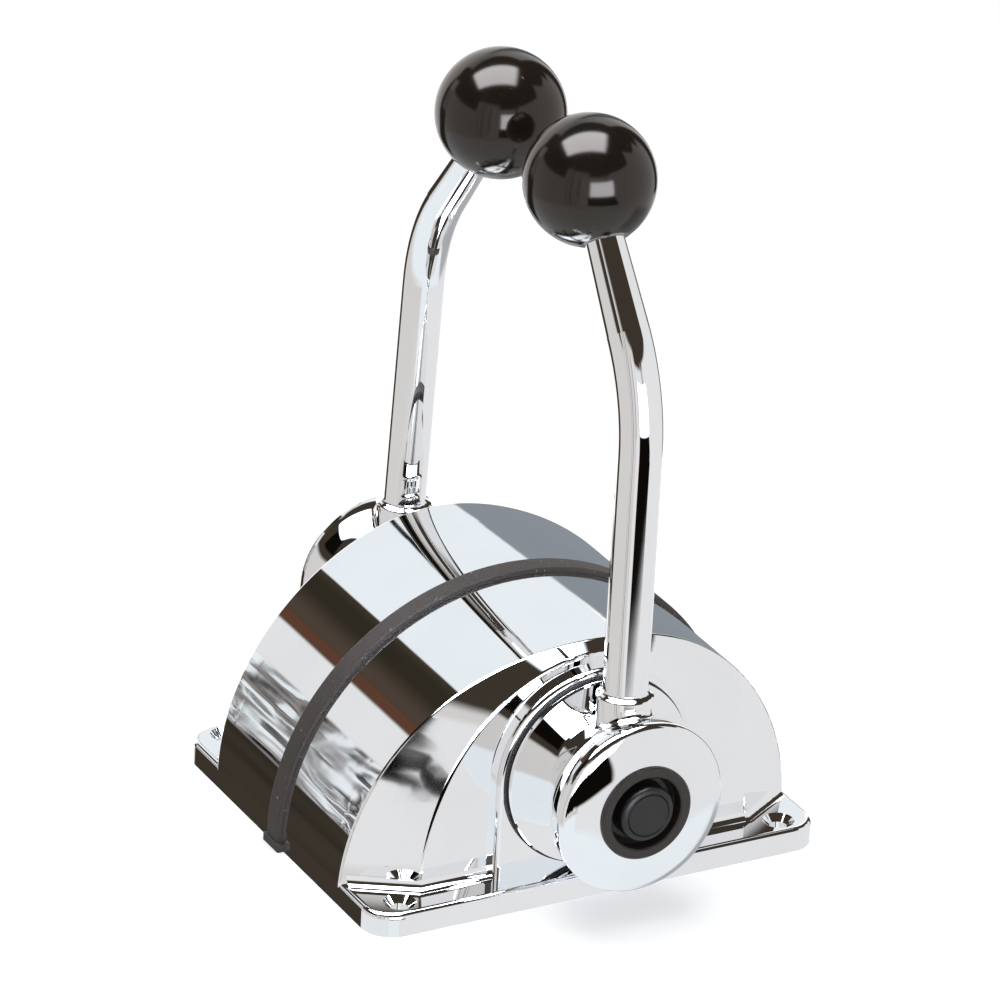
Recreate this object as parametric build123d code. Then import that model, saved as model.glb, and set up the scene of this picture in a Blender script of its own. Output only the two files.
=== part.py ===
from build123d import *
from math import asin, atan2, cos, degrees, hypot, radians, sin, sqrt, tan
import os

# Twin-lever engine control for a boat.  Two chromed half shells meet on the
# centreline with a rubber trim between them, and each carries one lever.
#
# Frame: X is fore and aft with +X ahead, Y is athwartships with +Y to port and
# Z is up.  The origin is the centre of the flat mounting face.  All sizes are
# in millimetres.  Everything on one side is drawn for starboard, where
# "outboard" distances run along -Y from the centreline, and mirrored for port.

# ---- Mounting flange ---------------------------------------------------------
base_length = 173.0             # fore and aft
base_width = 149.2              # over both half shells
flange_thickness = 8.5
flange_corner_radius = 11.0
flange_edge_radius = 2.0
mount_inset_x = 13.0            # hole centres from the ends of the flange
mount_inset_y = 8.35            # hole centres from the sides of the flange
mount_hole_diameter = 6.5
mount_sink_diameter = 11.2      # countersink at the top of the flange

# ---- Dome of the half shells -------------------------------------------------
dome_height = 88.0
dome_centre_height = 3.0        # of the ellipse that the crown follows
wall = 3.5
seam_gap = 2.0                  # filled by the web of the centre trim
panel_outboard = 61.0           # flat side panel, from the centreline
panel_half_length = 63.0        # at the foot of the panel
panel_drop = 3.0                # crown of the panel, below the dome's
panel_centre_height = 8.0
bevel_width = 21.0              # the bevel is drawn this far inboard of the panel
bevel_foot_slope = 1.65         # growth in half length for each millimetre inboard
bevel_crown_slope = 0.64        # growth in height for each millimetre inboard
bevel_edge_radius = 1.2         # where the dome meets the bevel
panel_edge_radius = 2.0         # where the bevel meets the panel
foot_fillet = 3.5               # where the bevel and the panel stand on the flange

# ---- Bearing pad and boss on the panel ---------------------------------------
lever_axis_height = 43.5
pad_thickness = 4.0
pad_edge_radius = 2.0
pad_recess_radius = 14.0
pad_recess_depth = 1.5
boss_radius = 15.0
boss_length = 15.0              # inboard of the panel's outer face

# ---- Lugs and screws that tie the half shells --------------------------------
tie_end_inset = 11.0            # screw centres from the ends of the dome
tie_end_height = 16.0
tie_top_inset = 11.0            # screw centre from the crown of the dome
tie_lug_radius = 9.0
tie_lug_thickness = 5.0
tie_screw_diameter = 5.0
tie_head_diameter = 8.5
tie_head_height = 5.0
tie_socket_width = 4.0
tie_socket_depth = 2.5
tie_nut_width = 8.0
tie_nut_thickness = 4.0
thread_tail = 1.5               # screw and shaft ends past their nuts

# ---- Centre trim -------------------------------------------------------------
trim_width = 8.6
trim_proud = 1.8
trim_web_depth = 6.0
trim_edge_radius = 0.8
trim_foot_width = 11.0
trim_foot_height = 3.0
trim_foot_proud = 0.5           # past the outside of the trim

# ---- Shaft, bushing and seal -------------------------------------------------
shaft_diameter = 14.0
shaft_flat_width = 11.0         # across the driving flats
shaft_thread_diameter = 10.0    # inboard end
hub_thread_diameter = 12.0      # outboard end
shaft_bore_diameter = 6.3
bushing_outer_diameter = 19.0
bushing_flange_diameter = 26.0
bushing_flange_thickness = 2.0
seal_width = 3.8
seal_thickness = 1.1
thrust_washer_radius = 12.0
thrust_washer_thickness = 1.5

# ---- Hub ---------------------------------------------------------------------
hub_disc_inset = 0.6            # the disc is this much smaller than the seal, on the radius
hub_disc_thickness = 1.8
hub_disc_edge_radius = 0.4
hub_length = 32.0               # from the disc's face to the front
hub_neck_radius = 19.0
hub_waist_radius = 26.6         # at the seat of the nut
hub_rim_radius = 31.2
hub_rim_setback = 4.8           # widest place of the bell, behind the front
hub_crown = 1.5                 # the domed face falls by this much to its edge
hub_rim_rounding = 3.4
hub_boss_radius = 9.4
hub_boss_rise = 3.3             # the boss stands this far above the rim
hub_boss_fillet = 2.4
hub_nut_seat_depth = 13.9       # outboard of the disc's face
hub_nut_width = 19.0
hub_nut_thickness = 4.5
hub_well_radius = 13.0
hub_socket_floor = 5.5          # metal left between the well and the arm's socket

# ---- Lever arm and knob ------------------------------------------------------
lever_radius = 7.7
lever_tip_radius = 6.8
lever_stand_off = 13.7          # centreline outboard of the disc's face, at the shaft's height
lever_inward_lean = 2.1         # degrees, towards the centreline
lever_forward_lean = 1.35       # degrees, at the neutral detent
lever_bend_height = 143.0       # corner of the bend, above the lever axis
lever_bend_radius = 65.0
lever_spigot_radius = 6.0
lever_collar_radius = 9.8
lever_collar_height = 3.0
lever_collar_edge = 0.8
knob_diameter = 45.0
knob_spacing = 62.4             # between the two knob centres
knob_height = 201.7             # centre, above the lever axis
knob_flat_radius = 8.4
knob_stud_diameter = 8.0
knob_stud_in_lever = 12.0
knob_stud_in_knob = 16.0
stud_hole_spare = 2.0           # depth of the knob's hole past the stud

# ---- Push button in the hub --------------------------------------------------
bezel_depth = 10.0              # let into the hub's front
bezel_wall = 2.0                # of the sleeve round the button's flange
bezel_radius = 17.0
bezel_lip = 1.1
bezel_lip_radius = 0.5
bezel_well_radius = 13.2
bezel_well_depth = 5.0          # from the hub's front to the floor
bezel_well_chamfer = 1.4
bezel_floor_thickness = 2.0
button_radius = 10.1
button_wall = 1.3
button_flange_radius = 11.9
button_flange_thickness = 1.4
button_proud = 2.4              # of the hub's front
button_shoulder_height = 2.2
button_ring_radius = 8.0        # ring line round the middle of the cap
button_ring_depth = 0.35
button_ring_width = 0.7
button_crown_thickness = 3.6
button_boss_radius = 4.6
button_boss_length = 3.0
button_travel = 3.5
button_rod_diameter = 6.0
button_rod_tail = 3.7           # rod past the centre of the clutch pin
spring_wire = 0.9
spring_turns = 4.5

# ---- Shift clutch and arms ---------------------------------------------------
arm_thickness = 5.0
arm_hub_radius = 13.0
arm_end_radius = 6.0
arm_length = 30.0
arm_eye_diameter = 5.1
arm_gap = 10.1                  # between the throttle arm and the shift arm
clutch_pin_diameter = 4.0
clutch_pin_length = 22.0
clutch_notch_depth = 3.1
shaft_nut_width = 17.0
shaft_nut_thickness = 5.0

# ---- Neutral detent and friction brake ---------------------------------------
detent_ball_diameter = 5.0
detent_notch_depth = 1.0
detent_notch_angle = 32.0       # from neutral to ahead and to astern gear
detent_body_diameter = 8.0
detent_body_length = 14.0
detent_body_wall = 3.0          # closed end of the plunger body
detent_lip = 1.0                # the body's mouth stands this far past the ball's centre
detent_lug_height = 13.0
detent_lug_length = 11.0
detent_spring_radius = 1.9
detent_spring_wire = 0.5
detent_spring_turns = 5
friction_pad_diameter = 5.8
friction_pad_length = 3.95
friction_screw_diameter = 6.0
friction_screw_length = 12.0
friction_socket_width = 3.0
friction_socket_depth = 3.0
friction_screw_inset = 5.0      # outboard of the boss's inner face

# ---- Clearances --------------------------------------------------------------
running_clearance = 0.05        # shafts in their bores, on the radius
fitted_clearance = 0.02         # pressed and threaded fits, on the radius
face_clearance = 0.2            # faces that turn past each other
slide_clearance = 0.1           # the button and its pin in their guides
detent_clearance = 0.3          # the ball riding over the rim of the arm
cut_margin = 1.0                # cutting tools reach this far past the metal
tolerance = 0.01                # edges this near a place count as lying on it

# ---- Stations outboard of the centreline -------------------------------------
half_length = base_length / 2
half_width = base_width / 2
seam_face = seam_gap / 2
tie_face = seam_face + tie_lug_thickness
bevel_inboard = panel_outboard - bevel_width
panel_inner = panel_outboard - wall
pad_outboard = panel_outboard + pad_thickness
pad_recess_face = pad_outboard - pad_recess_depth
boss_inboard = panel_outboard - boss_length
seal_outboard = pad_outboard + seal_thickness
hub_back = seal_outboard + face_clearance
hub_disc_face = hub_back + hub_disc_thickness
hub_nut_seat = hub_disc_face + hub_nut_seat_depth
hub_nut_face = hub_nut_seat + hub_nut_thickness
hub_front = hub_disc_face + hub_length
hub_rim_outboard = hub_front - hub_rim_setback
lever_outboard = hub_disc_face + lever_stand_off
knob_outboard = knob_spacing / 2
bezel_seat = hub_front - bezel_depth
bezel_floor = hub_front - bezel_well_depth
bezel_floor_back = bezel_floor - bezel_floor_thickness
button_face = hub_front + button_proud
button_inner_face = button_face - button_crown_thickness
button_flange_face = bezel_floor_back - slide_clearance
thrust_outboard = boss_inboard - face_clearance
thrust_inboard = thrust_outboard - thrust_washer_thickness
shift_arm_outboard = thrust_inboard - face_clearance
shift_arm_inboard = shift_arm_outboard - arm_thickness
shift_arm_middle = shift_arm_outboard - arm_thickness / 2
clutch_pin_outboard = shift_arm_inboard + clutch_notch_depth - slide_clearance - clutch_pin_diameter / 2
throttle_arm_outboard = shift_arm_inboard - arm_gap
throttle_arm_inboard = throttle_arm_outboard - arm_thickness
shaft_nut_face = throttle_arm_inboard - shaft_nut_thickness
friction_outboard = boss_inboard + friction_screw_inset

# ---- Other worked-out sizes --------------------------------------------------
shaft_radius = shaft_diameter / 2
seal_outer_radius = lever_axis_height - flange_thickness - face_clearance
pad_radius = seal_outer_radius + pad_edge_radius
hub_disc_radius = seal_outer_radius - hub_disc_inset
panel_height = dome_height - panel_drop
bevel_inset = wall * hypot(1.0, bevel_foot_slope) / bevel_foot_slope
tie_end = half_length - tie_end_inset
tie_places = [(-tie_end, tie_end_height), (tie_end, tie_end_height), (0.0, dome_height - tie_top_inset)]
mount_x = half_length - mount_inset_x
mount_y = half_width - mount_inset_y
hub_bezel_radius = hub_well_radius + bezel_wall
hub_boss_height = hub_rim_radius + hub_boss_rise
lever_spigot_bottom = hub_well_radius + hub_socket_floor
knob_radius = knob_diameter / 2
knob_flat_distance = sqrt(knob_radius**2 - knob_flat_radius**2)
bend_outboard = lever_outboard - lever_bend_height * tan(radians(lever_inward_lean))
upper_lean = degrees(atan2(bend_outboard - knob_outboard, knob_height - lever_bend_height))
button_inner_radius = button_radius - button_wall
spring_mean_radius = button_inner_radius - spring_wire
detent_ball_reach = arm_hub_radius + detent_ball_diameter / 2 + detent_clearance
detent_mouth = detent_ball_reach + detent_lip
friction_pad_reach = shaft_radius + running_clearance + friction_pad_length
friction_screw_reach = friction_pad_reach + slide_clearance + friction_screw_length

# ---- Axes and planes ---------------------------------------------------------
LEVER_AXIS = Axis((0, 0, lever_axis_height), (0, 1, 0))
# Local x runs outboard and local y is the height above the lever axis.
TURNING = Plane(origin=(0, 0, lever_axis_height), x_dir=(0, -1, 0), z_dir=(-1, 0, 0))
FROM_BOTTOM = (Align.CENTER, Align.CENTER, Align.MIN)
FROM_TOP = (Align.CENTER, Align.CENTER, Align.MAX)


def across(outboard):
    """Fore-and-aft upright plane at a distance outboard, facing outboard."""
    return Plane.XZ.offset(outboard)


def on_lever(height):
    """Plane square to the straight lower run of the arm at a height above the axis."""
    lean = radians(lever_inward_lean)
    outboard = lever_outboard - height * tan(lean)
    return Plane(origin=(0, -outboard, lever_axis_height + height), z_dir=(0, sin(lean), cos(lean)))


def below_knob(distance):
    """Plane square to the upper run of the arm, `distance` short of the knob's centre."""
    lean = radians(upper_lean)
    outboard = knob_outboard + distance * sin(lean)
    height = knob_height - distance * cos(lean)
    return Plane(origin=(0, -outboard, lever_axis_height + height), z_dir=(0, sin(lean), cos(lean)))


def leaned(shape):
    """Lever pieces lean slightly ahead when the lever stands in neutral."""
    return shape.rotate(LEVER_AXIS, lever_forward_lean)


# ---- Building blocks ---------------------------------------------------------
def arch(half, height, centre_height, foot=0.0):
    """Arch in fore-and-aft and height: an elliptical crown on legs as high as the flange."""
    rise = height - centre_height
    start = degrees(asin((flange_thickness - centre_height) / rise))
    crown = EllipticalCenterArc((0, centre_height), half / cos(radians(start)), rise, start, arc_size=180 - 2 * start)
    legs = Polyline(crown @ 1, (-half, foot), (half, foot), crown @ 0)
    return make_face(crown.edges() + legs.edges())


def turned(*outline):
    """Solid turned about the lever axis from (outboard, radius) corners."""
    return revolve(TURNING * make_face(Polyline(*outline, close=True)), LEVER_AXIS)


def ring(inner_face, outer_face, inner_radius, outer_radius):
    """Plain ring or sleeve about the lever axis, between two outboard stations."""
    return rod(inner_face, outer_face, outer_radius) - rod(
        inner_face - cut_margin, outer_face + cut_margin, inner_radius
    )


def rod(inner_face, outer_face, radius, x=0.0, z=lever_axis_height):
    """Round bar along Y between two outboard stations."""
    return extrude(across(inner_face) * Pos(x, z) * Circle(radius), outer_face - inner_face)


def hex_prism(inner_face, outer_face, width, x=0.0, z=lever_axis_height):
    """Hexagon across flats `width`, along Y between two outboard stations."""
    flats = RegularPolygon(width / 2, 6, major_radius=False)
    return extrude(across(inner_face) * Pos(x, z) * flats, outer_face - inner_face)


def flatted(inner_face, outer_face, clearance=0.0):
    """Shaft end with two driving flats, or with a clearance the hole that takes it."""
    section = Circle(shaft_radius + clearance) & Rectangle(shaft_flat_width + 2 * clearance, shaft_diameter * 2)
    return extrude(across(inner_face) * Pos(0, lever_axis_height) * section, outer_face - inner_face)


def below_shaft(radius, inner, outer):
    """Upright cylinder under the shaft at the friction brake, between two radii."""
    return Pos(0, -friction_outboard, lever_axis_height - outer) * Cylinder(radius, outer - inner, align=FROM_BOTTOM)


def beside_shaft(radius, inner, outer):
    """Cylinder pointing ahead at the height of the shaft, in line with the shift arm."""
    lie = Pos(inner, -shift_arm_middle, lever_axis_height) * Rot(0, 90, 0)
    return lie * Cylinder(radius, outer - inner, align=FROM_BOTTOM)


def coil(mean_radius, wire, length, turns):
    """Open coil spring standing on local z = 0, `length` high over its wire."""
    rise = length - wire
    helix = Helix(rise / turns, rise, mean_radius)
    section = Plane(origin=helix @ 0, z_dir=helix % 0) * Circle(wire / 2)
    return Pos(0, 0, wire / 2) * sweep(section, path=helix, is_frenet=True)


# ---- Half shell --------------------------------------------------------------
def dome(inner_face, outer_face, inset=0.0, foot=0.0):
    """Crown of the shell as a plain arch, pulled in by `inset` for the cavity."""
    section = arch(half_length - inset, dome_height - inset, dome_centre_height, foot)
    return extrude(across(inner_face) * section, outer_face - inner_face)


def bevel_section(outboard, inset, foot):
    """Arch of the bevelled side at a station, pulled in by `inset` for the cavity."""
    reach = panel_outboard - outboard
    half = panel_half_length + reach * bevel_foot_slope - inset
    height = panel_height + reach * bevel_crown_slope - inset
    return across(outboard) * arch(half, height, panel_centre_height, foot)


def bevelled_side(outer_face, inset=0.0, foot=0.0):
    """Side of the shell, narrowing from the dome to the flat panel."""
    ends = [bevel_section(bevel_inboard, inset, foot), bevel_section(outer_face, inset, foot)]
    return loft(ends, ruled=True)


def tops_bevel(edge):
    """True for the arched edge between the dome and the bevel."""
    return edge.length > half_length and -panel_outboard < edge.center().Y < -bevel_inboard


def rims_panel(edge):
    """True for the arched edge between the bevel and the flat panel."""
    centre = edge.center()
    return abs(centre.Y + panel_outboard) < tolerance and centre.Z > lever_axis_height


def shell_body():
    """Outside of the half shell without its flange and pad."""
    side = dome(bevel_inboard, panel_outboard) & bevelled_side(panel_outboard)
    body = dome(seam_face, bevel_inboard) + side
    body = fillet(body.edges().filter_by(tops_bevel), bevel_edge_radius)
    return fillet(body.edges().filter_by(rims_panel), panel_edge_radius)


def shell_cavity():
    """Hollow of the half shell, open at the mounting face and at the seam."""
    foot = -cut_margin
    inner = dome(seam_face - cut_margin, bevel_inboard, wall, foot)
    side = dome(bevel_inboard, panel_outboard, wall, foot) & bevelled_side(panel_inner, bevel_inset, foot)
    return inner + side


def flange():
    """Half of the mounting flange, its ends flush with the dome."""
    plate = Pos(0, -half_width / 2) * Rectangle(base_length, half_width)
    plate = fillet(plate.vertices().group_by(Axis.Y)[0], flange_corner_radius)
    body = extrude(plate, flange_thickness)
    top = body.faces().sort_by(Axis.Z)[-1]
    rim = top.edges().filter_by(lambda e: e.center().Y < -cut_margin)
    body = fillet(rim, flange_edge_radius)
    return body - extrude(Plane.XZ * Rectangle(base_length * 2, flange_thickness * 4), seam_face)


def bearing_pad():
    """Round-topped pad that stands proud of the panel and runs down to the flange."""
    round_top = Pos(0, lever_axis_height) * Circle(pad_radius)
    column = Pos(0, lever_axis_height / 2) * Rectangle(2 * pad_radius, lever_axis_height)
    body = extrude(across(panel_inner) * (round_top + column), pad_outboard - panel_inner)
    front = body.faces().sort_by(Axis.Y)[0]
    return fillet(front.edges().filter_by(lambda e: e.center().Z > flange_thickness), pad_edge_radius)


def foot_cove(outside):
    """Cove where the shell stands on the flange, ending short of the flange's rounded rim."""
    reach = half_length + 2 * foot_fillet
    plate = Pos(0, -half_width / 2) * Box(2 * reach, half_width, flange_thickness, align=FROM_BOTTOM)
    corner = outside + plate
    coved = fillet(corner.edges().filter_by(at_shell_foot), foot_fillet)
    inside_rim = Box(base_length - 2 * flange_edge_radius, base_width - 2 * flange_edge_radius, dome_height)
    return (coved - corner) & inside_rim


def at_shell_foot(edge):
    """True for the edges where the bevel and the panel meet the top of the flange."""
    centre = edge.center()
    beside = -panel_outboard - tolerance < centre.Y < -bevel_inboard - tolerance
    return beside and abs(centre.Z - flange_thickness) < tolerance


def tie_lugs(outside):
    """Lugs beside the seam that take the tie screws, trimmed to the dome."""
    lugs = [rod(seam_face, tie_face, tie_lug_radius, x, z) for x, z in tie_places]
    return [lug & outside for lug in lugs]


def detent_lug():
    """Block inside the panel that holds the detent plunger in line with the shift arm."""
    width = panel_outboard - wall / 2 - shift_arm_inboard
    start = detent_mouth + detent_lip
    block = Box(detent_lug_length, width, detent_lug_height, align=(Align.MIN, Align.MAX, Align.CENTER))
    return Pos(start, -shift_arm_inboard, lever_axis_height) * block


def mounting_hole():
    """Countersunk hole through the flange, about the local origin."""
    depth = (mount_sink_diameter - mount_hole_diameter) / 2
    hole = Cylinder(mount_hole_diameter / 2, flange_thickness * 3)
    sink = Cone(mount_hole_diameter / 2, mount_sink_diameter / 2, depth, align=FROM_TOP)
    return hole + Pos(0, 0, flange_thickness) * sink


def housing():
    """Half shell with its flange, bearing boss, tie lugs and detent lug."""
    outside = shell_body()
    shell = outside + [flange(), foot_cove(outside), bearing_pad()]
    shell -= shell_cavity()
    shell += rod(boss_inboard, panel_inner + wall / 2, boss_radius)
    shell += detent_lug()
    for lug in tie_lugs(outside):
        shell += lug
    for x, z in tie_places:
        radius = tie_screw_diameter / 2 + slide_clearance
        shell -= rod(seam_face - cut_margin, tie_face + cut_margin, radius, x, z)
    for x in (-mount_x, mount_x):
        shell -= Pos(x, -mount_y) * mounting_hole()
    shell -= rod(boss_inboard - cut_margin, pad_outboard, bushing_outer_diameter / 2 + fitted_clearance)
    shell -= rod(pad_recess_face, pad_outboard + cut_margin, pad_recess_radius)
    shell -= beside_shaft(detent_body_diameter / 2 + fitted_clearance, arm_hub_radius, half_length / 2)
    shell -= below_shaft(friction_screw_diameter / 2 + fitted_clearance, 0, boss_radius + cut_margin)
    return shell


# ---- Parts between the half shells -------------------------------------------
def trim_arch(growth, foot=0.0):
    """Outline of the dome grown outwards, or pulled in if `growth` is negative."""
    return Plane.XZ * arch(half_length + growth, dome_height + growth, dome_centre_height, foot)


def centre_trim():
    """Rubber strip with a T section: a cap over the seam and a web between the shells."""
    cap = extrude(trim_arch(trim_proud), trim_width / 2, both=True)
    rims = cap.edges().filter_by(GeomType.ELLIPSE)
    cap = fillet(rims, trim_edge_radius)
    cap -= extrude(trim_arch(running_clearance, foot=-cut_margin), trim_width, both=True)
    web = extrude(trim_arch(trim_proud / 2), seam_face, both=True)
    web -= extrude(trim_arch(-trim_web_depth, foot=-cut_margin), trim_width, both=True)
    strip = cap + web
    for end in (Align.MIN, Align.MAX):
        side = 1 if end == Align.MIN else -1
        foot = Box(trim_proud + trim_foot_proud, trim_foot_width, trim_foot_height, align=(end, Align.CENTER, Align.MIN))
        strip += Pos(side * (half_length + running_clearance), 0) * foot
    return strip


def tie_screws():
    """Cap screws through both rows of lugs, with their heads to starboard."""
    screws = []
    for x, z in tie_places:
        screw = rod(tie_face, tie_face + tie_head_height, tie_head_diameter / 2, x, z)
        screw += rod(-tie_face - tie_nut_thickness - thread_tail, tie_face, tie_screw_diameter / 2, x, z)
        socket_floor = tie_face + tie_head_height - tie_socket_depth
        screws.append(screw - hex_prism(socket_floor, socket_floor + tie_head_height, tie_socket_width, x, z))
    return Compound(children=screws)


def tie_nuts():
    """Nuts on the port ends of the tie screws."""
    nuts = []
    for x, z in tie_places:
        nut = hex_prism(-tie_face - tie_nut_thickness, -tie_face, tie_nut_width, x, z)
        nuts.append(nut - rod(-half_width, 0, tie_screw_diameter / 2 + fitted_clearance, x, z))
    return Compound(children=nuts)


# ---- Bearing and seal --------------------------------------------------------
def shaft_bushing():
    """Flanged sleeve pressed into the boss, with a hole for the friction pad."""
    bore = shaft_radius + running_clearance
    sleeve = ring(boss_inboard, pad_recess_face, bore, bushing_outer_diameter / 2)
    collar = ring(pad_recess_face, pad_recess_face + bushing_flange_thickness, bore, bushing_flange_diameter / 2)
    return sleeve + collar - below_shaft(friction_pad_diameter / 2 + running_clearance, 0, boss_radius)


def hub_seal():
    """Flat ring that keeps water out between the pad and the hub."""
    return ring(pad_outboard, seal_outboard, seal_outer_radius - seal_width, seal_outer_radius)


def thrust_washer():
    """Washer between the boss and the shift arm."""
    return ring(thrust_inboard, thrust_outboard, shaft_radius + running_clearance, thrust_washer_radius)


# ---- Shaft -------------------------------------------------------------------
def drive_shaft():
    """Hollow shaft: flats for the throttle arm and the hub, and a slot for the clutch pin."""
    flats_end = throttle_arm_outboard + face_clearance
    rod_end = clutch_pin_outboard - button_rod_tail - button_travel - cut_margin
    shaft = rod(flats_end, hub_disc_face, shaft_radius)
    shaft += flatted(throttle_arm_inboard, flats_end)
    shaft += flatted(hub_disc_face, hub_nut_seat)
    shaft += rod(shaft_nut_face - thread_tail, throttle_arm_inboard, shaft_thread_diameter / 2)
    shaft += rod(hub_nut_seat, hub_nut_face + thread_tail, hub_thread_diameter / 2)
    shaft -= rod(rod_end, hub_front, shaft_bore_diameter / 2)
    slot_reach = clutch_pin_diameter / 2 + slide_clearance
    slot_inner = clutch_pin_outboard - button_travel - slot_reach
    slot_outer = clutch_pin_outboard + slot_reach
    slot = Box(shaft_diameter * 2, slot_outer - slot_inner, slot_reach * 2, align=(Align.CENTER, Align.MAX, Align.CENTER))
    return shaft - Pos(0, -slot_inner, lever_axis_height) * slot


def nut(inner_face, outer_face, width, thread_diameter):
    """Plain hexagon nut about the lever axis."""
    hole = rod(inner_face - cut_margin, outer_face + cut_margin, thread_diameter / 2 + fitted_clearance)
    return hex_prism(inner_face, outer_face, width) - hole


# ---- Arms inside the shell ---------------------------------------------------
def arm_blank(inner_face, direction):
    """Flat arm with a round hub and an eye for the cable, pointing ahead or aft."""
    hub = Circle(arm_hub_radius)
    end = Pos(direction * arm_length, 0) * Circle(arm_end_radius)
    blade = make_hull(hub.edges() + end.edges())
    blade -= Pos(direction * arm_length, 0) * Circle(arm_eye_diameter / 2)
    return extrude(across(inner_face) * Pos(0, lever_axis_height) * blade, arm_thickness)


def throttle_arm():
    """Arm keyed to the inboard end of the shaft, for the throttle cable."""
    bore = flatted(throttle_arm_inboard - cut_margin, throttle_arm_outboard + cut_margin, running_clearance)
    return arm_blank(throttle_arm_inboard, 1) - bore


def shift_arm():
    """Arm that turns on the shaft, driven by the clutch pin in its notches."""
    arm = arm_blank(shift_arm_inboard, -1)
    inner, outer = shift_arm_inboard - cut_margin, shift_arm_outboard + cut_margin
    arm -= rod(inner, outer, shaft_radius + running_clearance)
    notch = Box(
        clutch_pin_length + 2 * slide_clearance, 2 * clutch_notch_depth, clutch_pin_diameter + 2 * slide_clearance
    )
    arm -= Pos(0, -shift_arm_inboard, lever_axis_height) * notch
    groove_reach = arm_hub_radius + detent_ball_diameter / 2 - detent_notch_depth
    for angle in (-detent_notch_angle, 0.0, detent_notch_angle):
        arm -= rod(inner, outer, detent_ball_diameter / 2, groove_reach).rotate(LEVER_AXIS, angle)
    return arm


# ---- Detent and friction brake -----------------------------------------------
def detent_plunger():
    """Threaded body that guides the detent ball, closed at its far end."""
    end = detent_mouth + detent_body_length
    body = beside_shaft(detent_body_diameter / 2, detent_mouth, end)
    return body - beside_shaft(
        detent_ball_diameter / 2 + slide_clearance, detent_mouth - cut_margin, end - detent_body_wall
    )


def detent_ball():
    """Ball that drops into the notches round the shift arm."""
    return Pos(detent_ball_reach, -shift_arm_middle, lever_axis_height) * Sphere(detent_ball_diameter / 2)


def detent_spring():
    """Spring that pushes the ball, inside the plunger body."""
    start = detent_ball_reach + detent_ball_diameter / 2 + slide_clearance
    end = detent_mouth + detent_body_length - detent_body_wall - slide_clearance
    spring = coil(detent_spring_radius, detent_spring_wire, end - start, detent_spring_turns)
    return Pos(start, -shift_arm_middle, lever_axis_height) * Rot(0, 90, 0) * spring


def friction_pad():
    """Pad that presses on the shaft through the bushing."""
    return below_shaft(friction_pad_diameter / 2, shaft_radius + running_clearance, friction_pad_reach)


def friction_screw():
    """Grub screw that sets how stiffly the lever turns."""
    screw = below_shaft(friction_screw_diameter / 2, friction_pad_reach + slide_clearance, friction_screw_reach)
    hexagon = RegularPolygon(friction_socket_width / 2, 6, major_radius=False)
    mouth = Pos(0, -friction_outboard, lever_axis_height - friction_screw_reach)
    return screw - extrude(mouth * hexagon, friction_socket_depth)


# ---- Lever arm and knob ------------------------------------------------------
def arm_collar(foot):
    """Flared foot of the arm, where it stands on the hub."""
    base = Polyline(
        (lever_radius, lever_collar_height), (0, lever_collar_height), (0, 0), (lever_collar_radius, 0),
        (lever_collar_radius, lever_collar_edge),
    )
    flare = Spline(
        (lever_collar_radius, lever_collar_edge), (lever_radius, lever_collar_height), tangents=[(-0.5, 1), (0, 1)]
    )
    upright = Plane(origin=foot.origin, x_dir=(1, 0, 0), z_dir=Vector(1, 0, 0).cross(foot.z_dir))
    return revolve(upright * make_face(base.edges() + flare.edges()), Axis(foot.origin, foot.z_dir))


def lever_arm():
    """Bent round bar: flared foot with a spigot, straight run, bend and tapered tip."""
    foot = on_lever(hub_boss_height)
    tip = below_knob(knob_flat_distance)
    route = FilletPolyline(
        TURNING.to_local_coords(foot.origin),
        (bend_outboard, lever_bend_height),
        TURNING.to_local_coords(tip.origin),
        radius=lever_bend_radius,
    )
    lower, bend, upper = (TURNING * route).edges().sort_by(Axis.Z)
    arm = sweep(foot * Circle(lever_radius), path=lower + bend)
    taper_start = below_knob(knob_flat_distance + upper.length)
    arm += taper_start * Cone(lever_radius, lever_tip_radius, upper.length, align=FROM_BOTTOM)
    arm += arm_collar(foot)
    spigot_length = hub_boss_height - lever_spigot_bottom + lever_collar_height
    arm += on_lever(lever_spigot_bottom) * Cylinder(lever_spigot_radius, spigot_length, align=FROM_BOTTOM)
    arm -= below_knob(knob_flat_distance + knob_stud_in_lever) * Cylinder(
        knob_stud_diameter / 2 + fitted_clearance, knob_radius, align=FROM_BOTTOM
    )
    return leaned(arm)


def ball_knob():
    """Moulded ball with a flat where the arm meets it and a hole for the stud."""
    ball = below_knob(0) * Sphere(knob_radius)
    ball -= below_knob(knob_flat_distance) * Box(knob_diameter, knob_diameter, knob_diameter, align=FROM_TOP)
    hole = Cylinder(
        knob_stud_diameter / 2 + fitted_clearance, knob_stud_in_knob + stud_hole_spare, align=FROM_BOTTOM
    )
    return leaned(ball - below_knob(knob_flat_distance) * hole)


def knob_stud():
    """Threaded stud that joins the knob to the arm."""
    stud = Cylinder(knob_stud_diameter / 2, knob_stud_in_lever + knob_stud_in_knob, align=FROM_BOTTOM)
    return leaned(below_knob(knob_flat_distance + knob_stud_in_lever) * stud)


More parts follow.
